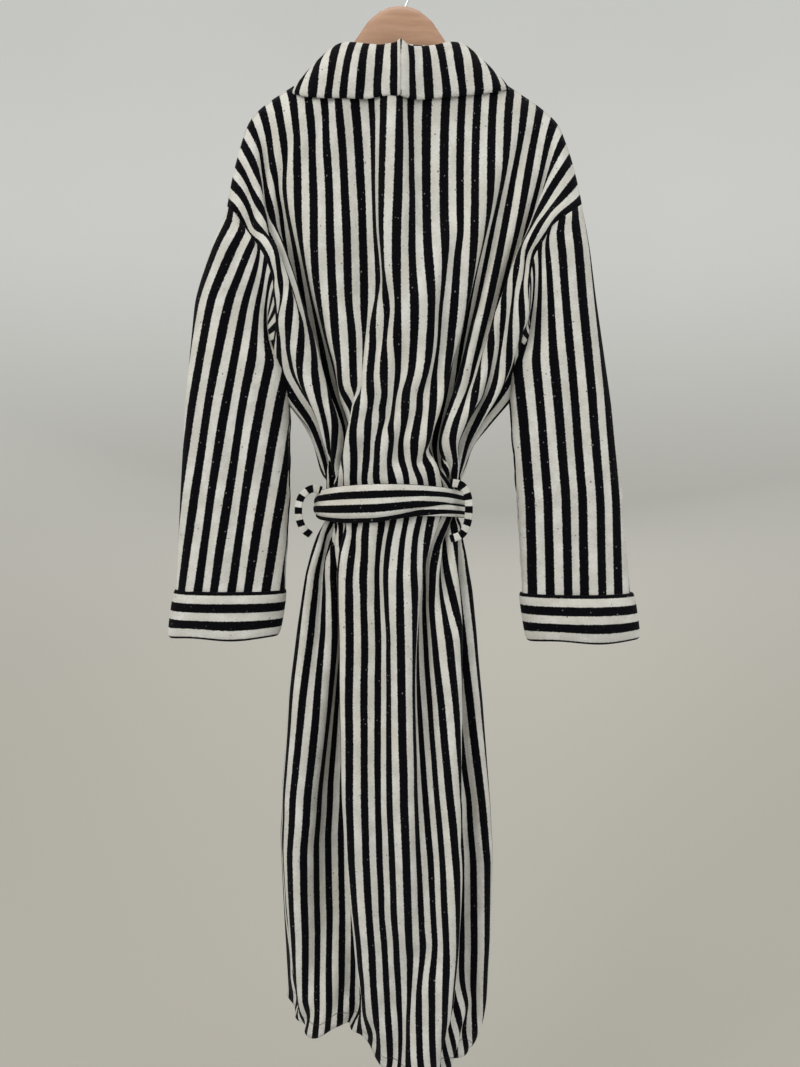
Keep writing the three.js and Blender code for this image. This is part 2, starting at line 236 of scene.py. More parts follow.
FRONT_EDGE = ((HEM, -OVERLAP), (-0.70, -0.06), (-0.60, -0.045), (-0.36, 0.035), (RIDGE, NECK))
BACK, FRONT_LEFT, FRONT_RIGHT, SLEEVE_LEFT, SLEEVE_RIGHT = range(5)


class Pattern:
    """Points, faces, flat coordinates and piece numbers of cloth that shares points along its seams."""

    def __init__(self):
        self.points, self.faces, self.flat, self.piece = [], [], [], []

    def point(self, place):
        self.points.append(tuple(place))
        return len(self.points) - 1

    def weave(self, grid, flat, piece, turned=False):
        for i in range(len(grid) - 1):
            for j in range(len(grid[0]) - 1):
                corners = [(i, j), (i + 1, j), (i + 1, j + 1), (i, j + 1)]
                if turned:
                    corners.reverse()
                self.faces.append([grid[a][b] for a, b in corners])
                self.flat.extend(flat[a][b] for a, b in corners)
                self.piece.append(piece)


def arc_lengths(x, y):
    return np.concatenate([[0], np.cumsum(np.hypot(np.diff(x), np.diff(y)))])


class Ellipse:
    """An ellipse from its point at -Y, read by the distance along it."""

    def __init__(self, half_x, half_y, sweep=2 * math.pi):
        self.half_x, self.half_y = half_x, half_y
        self.angles = np.linspace(0, sweep, 3000)
        x, y = half_x * np.sin(self.angles), half_y * np.cos(self.angles)
        self.arcs = arc_lengths(x, y)

    def at(self, arc):
        angle = np.interp(arc, self.arcs, self.angles)
        x, y = self.half_x * math.sin(angle), -self.half_y * math.cos(angle)
        normal = np.array((math.sin(angle) / self.half_x, -math.cos(angle) / self.half_y))
        return np.array((x, y)), normal / np.linalg.norm(normal)


def ridge(u):
    """The line the cloth hangs from, over the neck, the hanger and the dropped shoulder."""
    if u <= NECK:
        q = u / NECK
        return u, -0.028 * (1 - q**1.5) - 0.004, RIDGE - 0.007 * (1 - q * q)
    reach = (HANGER_TIP - NECK) / math.cos(SHOULDER_FALL)
    on_hanger, past = min(u - NECK, reach), max(u - NECK - reach, 0)
    x = NECK + on_hanger * math.cos(SHOULDER_FALL) + past * math.cos(DROP_FALL)
    z = RIDGE - on_hanger * math.sin(SHOULDER_FALL) - past * math.sin(DROP_FALL)
    return x, -0.004 * (1 - on_hanger / reach), z


def low_height(row):
    return HEM + (ARMPIT - HEM) * row / LOW_ROWS


def flat_height(row):
    return low_height(row) if row <= LOW_ROWS else ARMPIT + 0.30 * (row - LOW_ROWS) / ARM_ROWS


body_ring = Ellipse(0.2827, 0.0874, math.pi / 2)
BODY_SCALE = HALF_BACK / body_ring.arcs[-1]


def body_point(way, u, row):
    """A point of the cloth before it falls; way is -1 on the back and 1 on the front."""
    (x, y), _ = body_ring.at(u / BODY_SCALE)
    x, y = x * BODY_SCALE, -y * BODY_SCALE
    if row <= LOW_ROWS:
        return x, way * y, low_height(row)
    fall = 1 - (row - LOW_ROWS) / ARM_ROWS
    top_x, top_y, top_z = ridge(u)
    swell = 0.055 * (u / HALF_BACK) ** 3 * math.sin(math.pi * fall) ** 0.8
    round_over = math.sqrt(max(0.0, 1 - (1 - fall) ** 2))
    depth = way * (y * round_over + swell) + top_y * (1 - fall)
    return top_x + (x - top_x) * fall, depth, top_z + (ARMPIT - top_z) * fall


def front_reach(row):
    """Where the front's edge is, from the centre line, on its own side."""
    heights, reaches = zip(*FRONT_EDGE)
    if row <= LOW_ROWS:
        return float(np.interp(low_height(row), heights, reaches))
    at_armpit = float(np.interp(ARMPIT, heights, reaches))
    return at_armpit + (NECK - at_armpit) * ((row - LOW_ROWS) / ARM_ROWS) ** 0.8


def column_widths():
    side = [HALF_BACK + (NECK - HALF_BACK) * i / SIDE_COLUMNS for i in range(SIDE_COLUMNS + 1)]
    return side + [NECK * (1 - (i + 1) / NECK_COLUMNS) for i in range(NECK_COLUMNS)]


def cut_back(pattern):
    widths = column_widths()
    signed = [-u for u in widths] + [u for u in reversed(widths[:-1])]
    grid = []
    for u in signed:
        column = [body_point(-1, abs(u), row) for row in range(TOP_ROW + 1)]
        grid.append([pattern.point((math.copysign(x, u), y, z)) for x, y, z in column])
    flat = [[(u, flat_height(row)) for row in range(TOP_ROW + 1)] for u in signed]
    pattern.weave(grid, flat, BACK)
    return grid, signed


def cut_front(pattern, back, side):
    """One front, sewn to the back at the side and along the shoulder. side is -1 on the left."""
    seam = back[0] if side < 0 else back[-1]
    layer = 0.012 if side < 0 else -0.006
    grid, flat = [], []
    for column in range(SIDE_COLUMNS + 1):
        share = column / SIDE_COLUMNS
        shoulder = back[column if side < 0 else len(back) - 1 - column][TOP_ROW]
        ids, laid = [], []
        for row in range(TOP_ROW + 1):
            u = HALF_BACK + (front_reach(row) - HALF_BACK) * share
            laid.append((side * u, flat_height(row)))
            if column == 0 and row <= LOW_ROWS:
                ids.append(seam[row])
            elif row == TOP_ROW:
                ids.append(shoulder)
            else:
                x, y, z = body_point(1, abs(u), row)
                lift = layer * min(1, share * 1.6) * min(1, (TOP_ROW - row) / 8)
                ids.append(pattern.point((side * math.copysign(x, u), y + lift, z)))
        grid.append(ids)
        flat.append(laid)
    pattern.weave(grid, flat, FRONT_LEFT if side < 0 else FRONT_RIGHT, turned=side < 0)
    return grid


def cut_sleeve(pattern, back_edge, front_edge, side):
    """A tapering sleeve from the armhole, held 50 degrees below level before it falls."""
    ring = [back_edge[row] for row in range(TOP_ROW, LOW_ROWS - 1, -1)]
    ring += [front_edge[row] for row in range(LOW_ROWS + 1, TOP_ROW)]
    start = np.array([pattern.points[i] for i in ring])
    lean = math.radians(50)
    along = np.array((side * math.cos(lean), 0, -math.sin(lean)))
    outward = np.array((side * math.sin(lean), 0, math.cos(lean)))
    closed = np.vstack([start, start[:1]])
    arcs = np.concatenate([[0], np.cumsum(np.linalg.norm(np.diff(closed, axis=0), axis=1))])
    height = (start - start.mean(0)) @ outward
    slant = (SLEEVE_SLANT * height / abs(height).max())[:, None] * along
    rings = [ring]
    for row in range(1, SLEEVE_ROWS + 1):
        share = row / SLEEVE_ROWS
        outline = Ellipse(0.036 - 0.014 * share, 0.118 - 0.048 * share)
        places = [outline.at(arc * outline.arcs[-1] / arcs[-1])[0] for arc in arcs[:-1]]
        tube = start.mean(0) + along * SLEEVE * share
        tube = tube + np.array([-outward * y + np.array((0, -x, 0)) for x, y in places])
        blend = min(1.0, row / 9)
        blend = blend * blend * (3 - 2 * blend)
        shape = (start + along * SLEEVE * share) * (1 - blend) + tube * blend + slant * share
        rings.append([pattern.point(p) for p in shape])
    sew_sleeve(pattern, rings, side)
    return rings


def sew_sleeve(pattern, rings, side):
    """The back half runs from the top line to the underarm seam, the front half back up to it."""
    half = len(rings[0]) // 2
    for first, sign in ((0, 1), (half, -1)):
        grid, flat = [], []
        for step in range(half + 1):
            share = step / half if sign > 0 else 1 - step / half
            grid.append([ring[(first + step) % len(ring)] for ring in rings])
            rows = [row / SLEEVE_ROWS for row in range(SLEEVE_ROWS + 1)]
            widths = [SLEEVE_TOP + (SLEEVE_END - SLEEVE_TOP) * row for row in rows]
            twist = SLEEVE_TWIST[side]
            flat.append([(sign * share * w + twist * row, SLEEVE * row) for w, row in zip(widths, rows)])
        piece = SLEEVE_LEFT if side < 0 else SLEEVE_RIGHT
        pattern.weave(grid, flat, piece, turned=side < 0)


# ---- how the cloth hangs ----
WAIST_RING = (0.089, 0.068)  # half width and half depth of the cloth drawn in by the belt
SIDE_PLEAT, MIDDLE_PLEAT = 0.057, 0.0373  # cloth taken up by one pleat
MIDDLE_BACK, MIDDLE_ARC = 0.112, 0.088  # the middle of the back has small pleats
CUFF_PLACE = {-1: (-0.2218, -0.786, 0.0655), 1: (0.2308, -0.790, 0.067)}  # middle, top, half width
CUFF_DEPTH = 0.024
SHOULDER_LINES = {  # from the hanger's tip to the top of the sleeve's seam, as it hangs
    -1: ((-0.178, -0.183), (-0.194, -0.2005), (-0.2045, -0.239), (-0.2130, -0.284), (-0.2165, -0.3045)),
    1: ((0.178, -0.183), (0.201, -0.2005), (0.2165, -0.239), (0.2265, -0.280), (0.2305, -0.300)),
}
SLEEVE_LINES = {  # height, outer edge and inner edge of each hanging sleeve
    -1: ((-0.80, -0.2935, -0.150), (-0.663, -0.286, -0.140), (-0.54, -0.277, -0.138),
         (-0.42, -0.263, -0.143), (-0.36, -0.2435, -0.140), (-0.305, -0.2165, -0.135)),
    1: ((-0.80, 0.3020, 0.159), (-0.663, 0.290, 0.149), (-0.54, 0.272, 0.137),
        (-0.42, 0.252, 0.134), (-0.36, 0.2435, 0.132), (-0.305, 0.2320, 0.130)),
}
SLEEVE_DROP = (-0.305, -0.800)  # heights of the sleeve's seam and of its end, inside the cuff
CAP_ROWS = 10  # rows of the sleeve that still follow the slanting seam
CAP_FACE, CAP_SLOPE = 0.085, 0.62  # how far across they are held, and their slant
LEAN_AT_WAIST = -0.010  # the belt sits this far to the left
DRAW_IN_FRAMES, SETTLE_FRAMES = 36, 84


def waist_place(distance, side_arc, end_arc, ring):
    """Where cloth at this distance from the centre of the back ends up in the gathered waist."""
    front = HALF_BACK + 0.055
    if distance <= MIDDLE_BACK:
        take_up, arc, pleat, start = MIDDLE_ARC / MIDDLE_BACK, 0.0, MIDDLE_PLEAT, 0.0
    elif distance <= HALF_BACK:
        take_up = (side_arc - MIDDLE_ARC) / (HALF_BACK - MIDDLE_BACK)
        arc, pleat, start = MIDDLE_ARC, SIDE_PLEAT, MIDDLE_BACK
    else:
        take_up, arc, pleat, start = (end_arc - side_arc) / front, side_arc, SIDE_PLEAT, HALF_BACK
    beyond = distance - start
    phase = (distance - (0 if start == 0 else MIDDLE_BACK)) / pleat * 2 * math.pi
    depth = 0.25 * pleat * math.sqrt(1 - take_up**2)
    place, normal = ring.at(arc + beyond * take_up)
    return place, normal, -depth * (1 - math.cos(phase))


def row_at_waist():
    return min(range(LOW_ROWS), key=lambda row: abs(low_height(row) - WAIST))


def gather_waist(targets, back, fronts, signed):
    """Draws three rows of the body into a pleated ring; the right front goes under the left."""
    ring = Ellipse(*WAIST_RING, sweep=1.25 * math.pi)
    side_arc, end_arc = (float(np.interp(math.radians(a), ring.angles, ring.arcs)) for a in (100, 200))
    waist_row = row_at_waist()
    for step in (-1, 0, 1):
        row, height = waist_row + step, WAIST + 0.004 + step * 0.0134
        for u, column in zip(signed, back):
            (x, y), normal, pleats = waist_place(abs(u), side_arc, end_arc, ring)
            side = math.copysign(1, u) if u else 0
            x, y = side * (x + normal[0] * pleats), y + normal[1] * pleats
            targets[column[row]] = (x + LEAN_AT_WAIST, y, height)
        for side, grid in fronts.items():
            for number, column in enumerate(grid[1:], 1):
                distance = HALF_BACK + (HALF_BACK + 0.055) * number / SIDE_COLUMNS
                (x, y), normal, pleats = waist_place(distance, side_arc, end_arc, ring)
                under = -0.014 * min(1, (distance - HALF_BACK) / 0.12) if side > 0 else 0.0
                inward = pleats + under
                x, y = side * (x + normal[0] * inward), y + normal[1] * inward
                targets[column[row]] = (x + LEAN_AT_WAIST, y, height)


def sleeve_place(side, height, distance, flat_width):
    """Across a hanging sleeve: its outer face, then the cloth that tucks inside at the underarm."""
    z, outer, inner = zip(*SLEEVE_LINES[side])
    outer, inner = np.interp(height, z, outer), np.interp(height, z, inner)
    visible = abs(outer - inner)
    depth = np.interp(height, (-0.80, -0.45), (0.023, 0.034))
    if distance <= visible:
        share = distance / visible
        ripple = 0.0035 * math.sin(21 * share + 9 * height + side) * math.sin(math.pi * share)
        return outer - side * distance, depth * (1 - abs(2 * share - 1) ** 3.5) ** 0.6 + ripple
    tuck = min(flat_width - visible, 0.7 * visible)
    share = (distance - visible) / (flat_width - visible)
    return inner + side * tuck * share, depth * 0.35 * (1 - share) * min(1, share * 4)


def drop_shoulders(targets, back, signed):
    """Beyond the hanger the shoulder line falls to the top of the sleeve."""
    reach = NECK + (HANGER_TIP - NECK) / math.cos(SHOULDER_FALL)
    for u, column in zip(signed, back):
        if abs(u) <= reach + 0.001:
            continue
        x, z = np.array(SHOULDER_LINES[1 if u > 0 else -1]).T
        run = arc_lengths(x, z)
        place = run[-1] * (abs(u) - reach) / (HALF_BACK - reach)
        targets[column[TOP_ROW]] = (np.interp(place, run, x), 0, np.interp(place, run, z))


def hang_sleeve(targets, rings, side):
    """Each line round the sleeve hangs level, but the first ones follow the slant of the seam."""
    half = len(rings[0]) // 2
    seam, end = SLEEVE_DROP
    for row in range(1, SLEEVE_ROWS + 1):
        share = row / SLEEVE_ROWS
        flat_width = SLEEVE_TOP + (SLEEVE_END - SLEEVE_TOP) * share
        slant = CAP_SLOPE * max(0.0, 1 - row / CAP_ROWS)
        for number, point in enumerate(rings[row]):
            rear = number <= half
            distance = flat_width * (number if rear else len(rings[row]) - number) / half
            if row < CAP_ROWS and distance > CAP_FACE:
                continue
            height = seam + (end - seam) * share - slant * distance
            x, depth = sleeve_place(side, height, distance, flat_width)
            targets[point] = (x, -depth if rear else depth, height)


def settle(pattern, held, targets):
    """Lets the cloth fall while the waist is drawn in and the sleeves swing down, then rest."""
    mesh = bpy.data.meshes.new("sewn_cloth")
    mesh.from_pydata(pattern.points, [], pattern.faces)
    cloth = bpy.data.objects.new("sewn_cloth", mesh)
    bpy.context.scene.collection.objects.link(cloth)
    pins = cloth.vertex_groups.new(name="pinned")
    pins.add(held + list(targets), 1.0, "REPLACE")
    cloth.shape_key_add(name="Basis")
    drawn = cloth.shape_key_add(name="drawn_in")
    for point, place in targets.items():
        drawn.data[point].co = place
    for frame_number, value in ((1, 0.0), (DRAW_IN_FRAMES, 1.0)):
        drawn.value = value
        drawn.keyframe_insert("value", frame=frame_number)
    fall = cloth.modifiers.new("fall", "CLOTH")
    choose_terry(fall)
    scene = bpy.context.scene
    scene.frame_start, scene.frame_end = 1, SETTLE_FRAMES
    fall.point_cache.frame_start, fall.point_cache.frame_end = 1, SETTLE_FRAMES
    for number in range(1, SETTLE_FRAMES + 1):
        scene.frame_set(number)
    rested = cloth.evaluated_get(bpy.context.evaluated_depsgraph_get()).data
    places = np.empty(len(pattern.points) * 3)
    rested.vertices.foreach_get("co", places)
    bpy.data.objects.remove(cloth)
    scene.frame_set(1)
    return places.reshape(-1, 3)


def choose_terry(fall):
    """Heavy, damped cotton terry."""
    cloth = fall.settings
    cloth.quality, cloth.mass, cloth.air_damping = 6, 0.35, 1.5
    cloth.tension_stiffness = cloth.compression_stiffness = 30
    cloth.shear_stiffness, cloth.bending_stiffness = 12, 4
    cloth.tension_damping = cloth.compression_damping = cloth.shear_damping = 15
    cloth.bending_damping = 0.5
    cloth.vertex_group_mass, cloth.pin_stiffness = "pinned", 1
    contact = fall.collision_settings
    contact.use_collision, contact.use_self_collision = False, True
    contact.self_distance_min, contact.self_friction, contact.collision_quality = 0.006, 5, 2


def sew():
    """The whole robe as cut and sewn, with the points that are held and where others are drawn to."""
    pattern = Pattern()
    back, signed = cut_back(pattern)
    fronts = {side: cut_front(pattern, back, side) for side in (-1, 1)}
    sleeves = {
        side: cut_sleeve(pattern, back[0 if side < 0 else -1], fronts[side][0], side) for side in (-1, 1)
    }
    targets = {}
    gather_waist(targets, back, fronts, signed)
    drop_shoulders(targets, back, signed)
    for side, rings in sleeves.items():
        hang_sleeve(targets, rings, side)
    reach = NECK + (HANGER_TIP - NECK) / math.cos(SHOULDER_FALL)
    held = [column[TOP_ROW] for u, column in zip(signed, back) if abs(u) <= reach + 0.001]
    return pattern, back, fronts, sleeves, held, targets


# ---- from draped points to finished pieces ----
OUTLINE = (  # height, then the robe's left, right, rear and front limits there
    (-0.52, -0.150, 0.150, -0.088, 0.088),
    (-0.60, -0.118, 0.104, -0.076, 0.082),
    (-0.67, -0.103, 0.085, -0.062, 0.070),
    (-0.76, -0.128, 0.092, -0.074, 0.078),
    (-0.913, -0.148, 0.107, -0.088, 0.088),
    (-1.107, -0.166, 0.121, -0.098, 0.092),
    (-1.306, -0.159, 0.116, -0.102, 0.094),
    (-1.45, -0.152, 0.112, -0.102, 0.094),
)
FRONT_ROOM, REAR_ROOM = 0.135, 0.24  # the fold depths are pressed towards these
RISE = 0.040  # share by which everything above the belt is taller than the cut


def risen(z):
    return z + RISE * np.maximum(z - WAIST, 0)


def ease_to_outline(places, body):
    """Brings the draped body, height by height, to the outline that it hangs in."""
    heights = np.arange(-1.40, -0.50, 0.03)
    table = np.array(OUTLINE[::-1])
    for axis, low, high in ((0, 1, 2), (1, 3, 4)):
        spans = []
        for height in heights:
            near = places[body][abs(places[body][:, 2] - height) < 0.035, axis]
            spans.append(np.percentile(near, (0.5, 99.5)) if len(near) > 20 else (np.nan, np.nan))
        spans = np.array([s if not np.isnan(s[0]) else spans[1] for s in spans])
        z = places[body, 2]
        was_low, was_high = (np.interp(z, heights, spans[:, i]) for i in (0, 1))
        now_low, now_high = (np.interp(z, table[:, 0], table[:, i]) for i in (low, high))
        share = (places[body, axis] - was_low) / (was_high - was_low)
        eased = now_low + share * (now_high - now_low)
        weight = np.clip((-0.50 - z) / 0.10, 0, 1)
        weight = weight * weight * (3 - 2 * weight)
        places[body, axis] += (eased - places[body, axis]) * weight
    depth = places[:, 1]
    room = np.where(depth > 0, FRONT_ROOM, REAR_ROOM)
    places[:, 1] = room * np.tanh(depth / room)
    places[:, 2] = risen(places[:, 2])
    return places


CALM_REACH, CALM_ROUNDS = 0.07, 30  # distance from the sleeve's top line where it starts, and passes


def calm_underarms(places, pattern, sleeves):
    """Irons out the small crumples where the sleeves are bunched under the arms."""
    chosen = []
    for rings in sleeves.values():
        half = len(rings[0]) // 2
        first = round(CALM_REACH / SLEEVE_TOP * half)
        chosen += [p for ring in rings[: CAP_ROWS + 3] for p in ring[first : 2 * half - first]]
    chosen = np.unique(chosen)
    ends = np.array([(face[i], face[(i + 1) % 4]) for face in pattern.faces for i in range(4)])
    ends = np.vstack([ends, ends[:, ::-1]])
    count = np.bincount(ends[:, 0], minlength=len(places))[:, None]
    for _ in range(CALM_ROUNDS):
        total = np.zeros_like(places)
        np.add.at(total, ends[:, 0], places[ends[:, 1]])
        places[chosen] = 0.5 * (places + total / count)[chosen]
    return places


HEM_LINE = (  # place across, height of the hem there
    (-0.17, -1.368), (-0.11, -1.372), (-0.085, -1.352), (-0.055, -1.352), (-0.02, -1.392), (0.13, -1.385),
)


def level_hem(places, columns):
    """Lengthens each line of cloth below the waist so that its end reaches the hem's height."""
    waist_row = row_at_waist()
    x, z = zip(*HEM_LINE)
    moved = {}
    for column in columns:
        low = places[column[0]]
        gap = np.interp(low[0], x, z) - low[2]
        for row in range(waist_row):
            moved[column[row]] = gap * (1 - row / waist_row)
    for point, drop in moved.items():
        places[point, 2] += drop
    return places


class Surface:
    """Points, faces, flat coordinates per corner, and the normal at each point."""

    def __init__(self, points, faces, flat):
        self.points, self.faces, self.flat = np.asarray(points), faces, flat
        corners = [self.points[[face[i] for face in faces]] for i in range(4)]
        normal = np.cross(corners[2] - corners[0], corners[3] - corners[1])
        self.normals = np.zeros_like(self.points)
        for i in range(4):
            np.add.at(self.normals, [face[i] for face in faces], normal)
        length = np.linalg.norm(self.normals, axis=1, keepdims=True)
        self.normals /= np.maximum(length, 1e-12)


def refined(points, pattern):
    """The sewn cloth divided once more, with its flat coordinates and piece numbers."""
    mesh = bpy.data.meshes.new("refined")
    mesh.from_pydata([tuple(p) for p in points], [], pattern.faces)
    layer = mesh.uv_layers.new(name="flat")
    layer.data.foreach_set("uv", np.array(pattern.flat).reshape(-1))
    for _ in range(5):
        mesh.materials.append(None)
    mesh.polygons.foreach_set("material_index", pattern.piece)
    cloth = bpy.data.objects.new("refined", mesh)
    bpy.context.scene.collection.objects.link(cloth)
    divide = cloth.modifiers.new("divide", "SUBSURF")
    divide.levels = 1
    made = cloth.evaluated_get(bpy.context.evaluated_depsgraph_get()).data
    places = np.empty(len(made.vertices) * 3)
    made.vertices.foreach_get("co", places)
    flat = np.empty(len(made.loops) * 2)
    made.uv_layers["flat"].data.foreach_get("uv", flat)
    piece = np.empty(len(made.polygons), int)
    made.polygons.foreach_get("material_index", piece)
    faces = [list(face.vertices) for face in made.polygons]
    bpy.data.objects.remove(cloth)
    return Surface(places.reshape(-1, 3), faces, flat.reshape(-1, 4, 2)), piece


def thick_piece(name, surface, chosen, thickness):
    """A closed piece made of the chosen faces, with thickness shared between its two sides."""
    used = sorted({point for number in chosen for point in surface.faces[number]})
    order = {point: place for place, point in enumerate(used)}
    middle, normals = surface.points[used], surface.normals[used] * thickness / 2
    count = len(used)
    outer = [[order[p] for p in surface.faces[number]] for number in chosen]
    flat = [surface.flat[number] for number in chosen]
    edges = {(face[i], face[(i + 1) % 4]): (uv[i], uv[(i + 1) % 4])
             for face, uv in zip(outer, flat) for i in range(4)}
    inner = [[p + count for p in reversed(face)] for face in outer]
    rim, rim_flat = [], []
    for (a, b), (uv_a, uv_b) in edges.items():
        if (b, a) not in edges:
            rim.append([b, a, a + count, b + count])
            rim_flat.append([uv_b, uv_a, uv_a, uv_b])
    corners = flat + [uv[::-1] for uv in flat] + rim_flat
    points = np.vstack([middle + normals, middle - normals])
    return new_piece(name, points, outer + inner + rim, corners)


def new_piece(name, points, faces, flat):
    mesh = bpy.data.meshes.new(name)
    mesh.from_pydata([tuple(p) for p in points], [], faces)
    layer = mesh.uv_layers.new(name="flat")
    layer.data.foreach_set("uv", np.array([uv for face in flat for uv in face]).reshape(-1))
    mesh.polygons.foreach_set("use_smooth", [True] * len(faces))
    piece = bpy.data.objects.new(name, mesh)
    bpy.context.scene.collection.objects.link(piece)
    return piece


def grid_piece(name, points, flat, thickness=0.0, closed=False, rounds=1):
    """A piece from rows of points; closed joins each row's end to its start."""
    points, flat = np.array(points), np.array(flat)
    rows, columns = points.shape[:2]
    across = columns if closed else columns - 1
    faces, corners = [], []
    for i in range(rows - 1):
        for j in range(across):
            k = (j + 1) % columns
            here, below = i * columns, (i + 1) * columns
            faces.append([here + j, below + j, below + k, here + k])
            corners.append([flat[i][j], flat[i + 1][j], flat[i + 1][j + 1], flat[i][j + 1]])
    piece = new_piece(name, points.reshape(-1, 3), faces, corners)
    if thickness:
        thicken = piece.modifiers.new("thicken", "SOLIDIFY")
        thicken.thickness, thicken.offset = thickness, 0.0
    if rounds:
        divide = piece.modifiers.new("divide", "SUBSURF")
        divide.levels = divide.render_levels = rounds
    return applied(piece)


def applied(piece):
    """Gives the piece the mesh that its modifiers make."""
    made = piece.evaluated_get(bpy.context.evaluated_depsgraph_get())
    mesh = bpy.data.meshes.new_from_object(made)
    piece.modifiers.clear()
    piece.data = mesh
    mesh.polygons.foreach_set("use_smooth", [True] * len(mesh.polygons))
    return piece


def set_out(piece, material, body, slot, *nodes):
    piece.data.materials.clear()
    piece.data.materials.append(material)
    if body:
        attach(piece, body)
    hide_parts(*nodes)
    return piece


def sample(grid, i, j):
    """The grid's value between its points, i counting along the first axis."""
    i, j = min(max(i, 0), grid.shape[0] - 1.001), min(max(j, 0), grid.shape[1] - 1.001)
    a, b = int(i), int(j)
    u, v = i - a, j - b
    near = grid[a, b] * (1 - v) + grid[a, b + 1] * v
    far = grid[a + 1, b] * (1 - v) + grid[a + 1, b + 1] * v
    return near * (1 - u) + far * u


# ---- collar ----
COLLAR_CLOTH = 0.0052
COLLAR_LEVEL = ((-0.145, -0.158), (-0.125, -0.166), (0, -0.177), (0.13, -0.160), (0.15, -0.150))
COLLAR_SPREAD = 0.158  # how far along the shoulder its outer edge crosses
LAPEL_LOW = -0.705
LAPEL_END_ROWS, LAPEL_END_REACH = 12, (-0.092, 0.068)  # the gathered end stays within the waist
NECK_TUCK = 0.007  # the back neck edge sits this far under the collar's fold
BACK_STEPS, FRONT_STEPS, COLLAR_STEPS = 22, 46, 9


def tuck_neck(places, back):
    """Lowers the back neck edge, so that the collar's fold covers it."""
    middle = len(back) // 2
    for column in back[middle - NECK_COLUMNS + 1 : middle + NECK_COLUMNS]:
        places[column[TOP_ROW], 2] -= NECK_TUCK


def column_of(u):
    """The column of the half back at this flat distance from the middle."""
    if u <= NECK:
        return SIDE_COLUMNS + NECK_COLUMNS * (1 - u / NECK)
    return SIDE_COLUMNS * (HALF_BACK - u) / (HALF_BACK - NECK)


def collar_columns(back, front):
    """For each step along the collar: the grid to follow and its inner and outer places."""
    for step in range(BACK_STEPS + 1):
        share = step / BACK_STEPS
        outer = COLLAR_SPREAD * share**0.9
        to_armpit = ridge(outer)[2] - ARMPIT
        drop = max(0.0, ridge(outer)[2] + 0.180) * min(1, (1 - share) * 9)
        low = TOP_ROW - drop * ARM_ROWS / to_armpit
        yield back, (column_of(NECK * share), TOP_ROW), (column_of(outer), low)
    low_row = LOW_ROWS * (LAPEL_LOW - HEM) / (ARMPIT - HEM)
    for step in range(1, FRONT_STEPS + 1):
        share = step / FRONT_STEPS
        row = TOP_ROW + (low_row - TOP_ROW) * share
        wide = np.interp(share, (0, 0.2, 0.45, 0.85, 1), (0.364, 0.35, 0.32, 0.27, 0.12))
        yield front, (SIDE_COLUMNS, row), (SIDE_COLUMNS * (1 - wide), row)


def hang_level(row, weight):
    """Lets a line down the collar end at the collar's lower edge."""
    x, z = zip(*COLLAR_LEVEL)
    gap = np.interp(row[-1][0], x, z) - row[-1][2]
    for step in range(COLLAR_STEPS + 1):
        row[step + 2][2] += gap * weight * step / COLLAR_STEPS


def make_collar(side, grids):
    """Half of the shawl collar, from the middle of the back over the shoulder and down the front."""
    points, flat, run, last = [], [], 0.0, None
    for grid, inner, outer in collar_columns(*grids):
        places, normals = grid
        row = []
        for step in range(-2, COLLAR_STEPS + 1):
            share = max(step, 0) / COLLAR_STEPS
            i, j = (a + (b - a) * share for a, b in zip(inner, outer))
            place, normal = sample(places, i, j), sample(normals, i, j)
            normal = normal / np.linalg.norm(normal)
            lift = 0.0065 + 0.0035 * math.sin(math.pi * min(1, share * 1.1))
            if step < 0 and grid is grids[0]:
                place, lift = place + np.array((0, -0.006 * step, 0.014 * step)), 0.003
            elif step < 0:
                lift = 0.0045 + 0.0035 * step
            row.append(place + normal * lift)
        if grid is grids[0]:
            hang_level(row, min(1, (TOP_ROW - outer[1]) * 0.8))
        middle = row[2 + COLLAR_STEPS // 2]
        run += 0 if last is None else float(np.linalg.norm(middle - last))
        last = middle
        points.append(row)
        upright = 0.8 if grid is grids[0] else 0.0
        flat.append([(run + upright * side * (place[0] - middle[0]), 0.0085 * step)
                     for step, place in zip(range(-2, COLLAR_STEPS + 1), row)])
    points = soften(np.array(points), 5)
    points[0, :, 0] = -side * COLLAR_CLOTH * 0.2
    points[-LAPEL_END_ROWS:, :, 0] = np.clip(points[-LAPEL_END_ROWS:, :, 0], *LAPEL_END_REACH)
    if side < 0:
        points, flat = points[:, ::-1], [row[::-1] for row in flat]
    return points, flat


def soften(points, times):
    """Evens a grid of points with their neighbours, keeping its border lines."""
    for _ in range(times):
        inner = (points[:-2, 1:-1] + points[2:, 1:-1] + points[1:-1, :-2] + points[1:-1, 2:]) / 4
        points[1:-1, 1:-1] = points[1:-1, 1:-1] * 0.5 + inner * 0.5
        edges = points[:, [0, -1]]
        points[1:-1, [0, -1]] = edges[1:-1] * 0.5 + (edges[:-2] + edges[2:]) / 4
    return points


# ---- cuffs ----
CUFF_CLOTH = 0.004
CUFF_SLANT = 0.16  # how far the cuff spreads outward for its height


